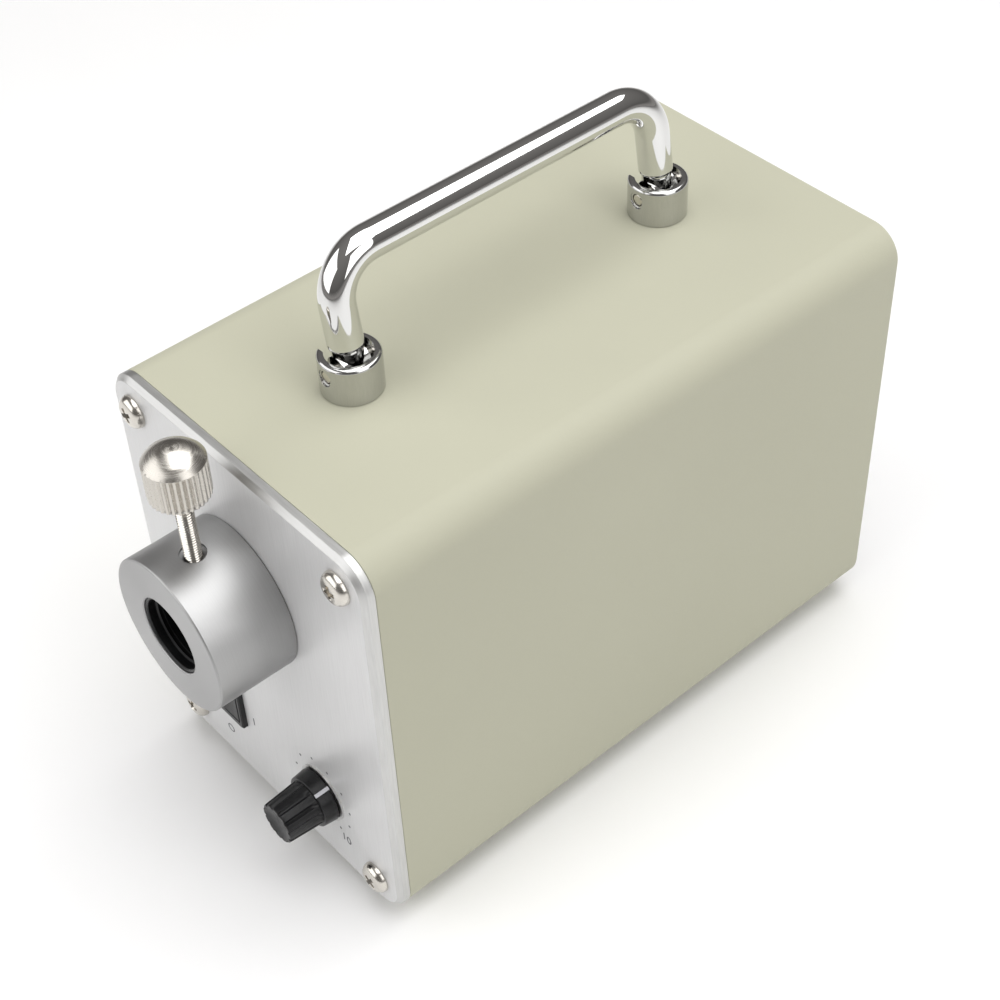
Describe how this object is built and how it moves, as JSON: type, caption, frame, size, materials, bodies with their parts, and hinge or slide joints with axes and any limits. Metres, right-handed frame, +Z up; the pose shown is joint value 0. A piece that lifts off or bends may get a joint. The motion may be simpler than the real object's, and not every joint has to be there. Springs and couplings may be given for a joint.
{
  "type": "fiber optic illuminator",
  "caption": "Bench light source in a rounded sleeve: a clamped port for a light guide, a brightness dial, a rocker switch, a folding carry handle and a rear fan.",
  "frame": {"origin": "on the bench, under the middle of the object's length and width, at the bottom of the feet", "axes": "+Z up; +Y from the front panel to the rear, along the sleeve; -Y is the way the light leaves the port; +X to the right seen from the front"},
  "size_m": [0.088, 0.1816, 0.1522],
  "materials": {
    "powder_coat": "fine-textured cream powder coat",
    "brushed_panel": "vertical brushed grain with a bright bevel",
    "mill_aluminium": "plain satin sheet",
    "bright_chrome": "polished chrome plate",
    "satin_steel": "turned, satin",
    "turned_aluminium": "turned, satin",
    "black_anodise": "matte black anodise",
    "nickel_plate": "nickel plate",
    "zinc_plate": "zinc plate",
    "brass": "plain brass",
    "black_rubber": "matte",
    "black_plastic": "moulded, matte",
    "grey_plastic": "moulded, matte",
    "pale_ink": "filled line",
    "board_green": "glass-fibre board with solder mask",
    "board_white": "white metal-core board",
    "lamp_yellow": "phosphor under clear resin",
    "clear_glass": "polished",
    "winding": "varnished winding and laminations",
    "sleeve_blue": "heat-shrunk sleeve",
    "block_green": "moulded",
    "lead_red": "insulation",
    "lead_black": "insulation",
    "lead_white": "insulation",
    "lead_brown": "insulation"
  },
  "bodies": {
    "case": {"case_sleeve": "powder_coat", "front_panel": "brushed_panel", "rear_panel": "mill_aluminium", "front_panel_screws": "nickel_plate", "rear_panel_screws": "nickel_plate", "rubber_feet": "black_rubber", "foot_screws": "zinc_plate", "chassis_tray": "mill_aluminium", "handle_collars": "satin_steel", "handle_pins": "zinc_plate", "handle_screws": "zinc_plate", "handle_washers": "zinc_plate", "handle_nuts": "zinc_plate", "light_port": "turned_aluminium", "port_liner": "black_anodise", "port_lock_nut": "turned_aluminium", "condenser_lens": "clear_glass", "lens_retaining_ring": "black_anodise", "engine_bracket": "mill_aluminium", "bracket_screws": "zinc_plate", "heat_sink": "black_anodise", "heat_sink_screws": "zinc_plate", "led_board": "board_white", "led_emitter": "lamp_yellow", "led_board_screws": "zinc_plate", "rocker_housing": "black_plastic", "rocker_terminals": "brass", "potentiometer": "mill_aluminium", "pot_washer": "zinc_plate", "pot_nut": "zinc_plate", "driver_board": "board_green", "board_standoffs": "brass", "board_screws": "zinc_plate", "transformer": "winding", "capacitors": "sleeve_blue", "power_transistor": "black_plastic", "transistor_heat_sink": "mill_aluminium", "terminal_blocks": "block_green", "fuse_clips": "nickel_plate", "fuse_link": "clear_glass", "fan_frame": "grey_plastic", "fan_guard": "nickel_plate", "fan_screws": "nickel_plate", "inlet_housing": "black_plastic", "inlet_pins": "nickel_plate", "inlet_screws": "nickel_plate", "led_leads": "lead_red", "switch_leads": "lead_black", "pot_leads": "lead_white", "fan_leads": "lead_red", "inlet_leads": "lead_brown"},
    "handle": {"carry_handle": "bright_chrome"},
    "rocker": {"rocker_button": "black_plastic"},
    "dial": {"dial_knob": "black_plastic", "pot_shaft": "satin_steel", "knob_pointer": "pale_ink"},
    "clamp_shank": {"thumb_screw_shank": "nickel_plate"},
    "clamp_head": {"thumb_screw_head": "nickel_plate"},
    "fan": {"fan_rotor": "grey_plastic"}
  },
  "joints": [
    {"name": "handle_fold", "type": "hinge", "parent": "case", "child": "handle", "pos_m": [-0.0015, 0.00825, 0.124], "axis": [0, -1, 0], "range_deg": [-8, 81]},
    {"name": "rocker_rock", "type": "hinge", "parent": "case", "child": "rocker", "pos_m": [-0.0197, -0.07055, 0.03], "axis": [0, 0, -1], "range_deg": [0, 20]},
    {"name": "dial_turn", "type": "hinge", "parent": "case", "child": "dial", "pos_m": [0.0176, -0.07575, 0.0266], "axis": [0, 1, 0], "range_deg": [-181.5, 115.5]},
    {"name": "clamp_travel", "type": "slide", "parent": "case", "child": "clamp_shank", "axis": [0, 0, -1], "range_m": [0, 0.0155]},
    {"name": "clamp_turn", "type": "hinge", "parent": "clamp_shank", "child": "clamp_head", "pos_m": [-0.0015, -0.08115, 0.115], "axis": [0, 0, -1], "range_deg": [0, 7971.43]},
    {"name": "fan_spin", "type": "hinge", "parent": "case", "child": "fan", "pos_m": [0, 0.07725, 0.0749], "axis": [0, 1, 0], "continuous": true}
  ],
  "couplings": [
    {"joint": "clamp_turn", "follows": "clamp_travel", "rad_per_m": 8976}
  ]
}
